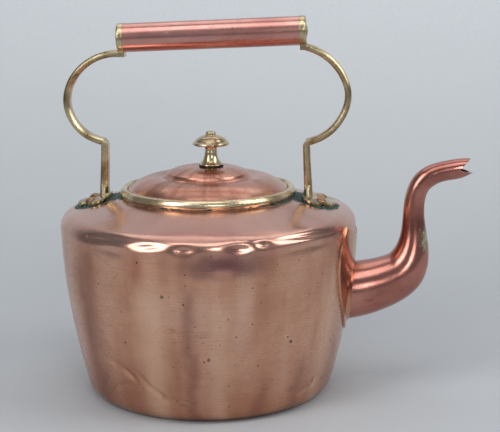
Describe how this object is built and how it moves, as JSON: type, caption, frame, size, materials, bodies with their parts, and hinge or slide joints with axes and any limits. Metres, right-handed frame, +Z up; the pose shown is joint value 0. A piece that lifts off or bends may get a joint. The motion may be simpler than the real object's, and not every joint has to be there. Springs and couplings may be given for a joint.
{
  "type": "stovetop kettle",
  "caption": "Round copper stovetop kettle with a swan-neck spout, riveted brass handle brackets, a tubular grip and a lift-off lid with a mushroom knob.",
  "frame": {"origin": "centre of the flat base, on the resting plane", "axes": "+X towards the spout, +Y to the left of the spout seen from behind it, +Z up"},
  "size_m": [0.3238, 0.2332, 0.2961],
  "materials": {
    "copper_body": "aged satin copper with dents and pits",
    "copper_base": "worn copper",
    "copper_spout": "darker polished copper",
    "copper_lid": "aged copper with brown patina",
    "copper_grip": "hand-polished copper",
    "copper_rivets": "worn copper",
    "brass_collar": "dull brass with green verdigris",
    "brass_handle": "dull cast brass",
    "brass_knob": "turned brass, dark patina",
    "dark_washer": "black-green patina"
  },
  "bodies": {
    "kettle": {"body_shell": "copper_body", "base_pan": "copper_base", "mouth_collar": "brass_collar", "spout_flange": "copper_spout", "spout_tube": "copper_spout", "grip_tube": "copper_grip", "grip_tie_rod": "brass_handle", "handle_bracket_front": "brass_handle", "handle_bracket_rear": "brass_handle", "foot_rivet_front_right": "copper_rivets", "rivet_rove_front_right": "copper_rivets", "foot_rivet_front_left": "copper_rivets", "rivet_rove_front_left": "copper_rivets", "foot_rivet_rear_right": "copper_rivets", "rivet_rove_rear_right": "copper_rivets", "foot_rivet_rear_left": "copper_rivets", "rivet_rove_rear_left": "copper_rivets"},
    "lid": {"lid_dome": "copper_lid", "lid_bezel": "copper_lid", "knob": "brass_knob", "knob_washer": "dark_washer", "knob_stud": "brass_knob", "knob_rove": "copper_rivets"}
  },
  "joints": [
    {"name": "lid_lift", "type": "slide", "parent": "kettle", "child": "lid", "axis": [0, 0, 1], "range_m": [0, 0.06]}
  ]
}
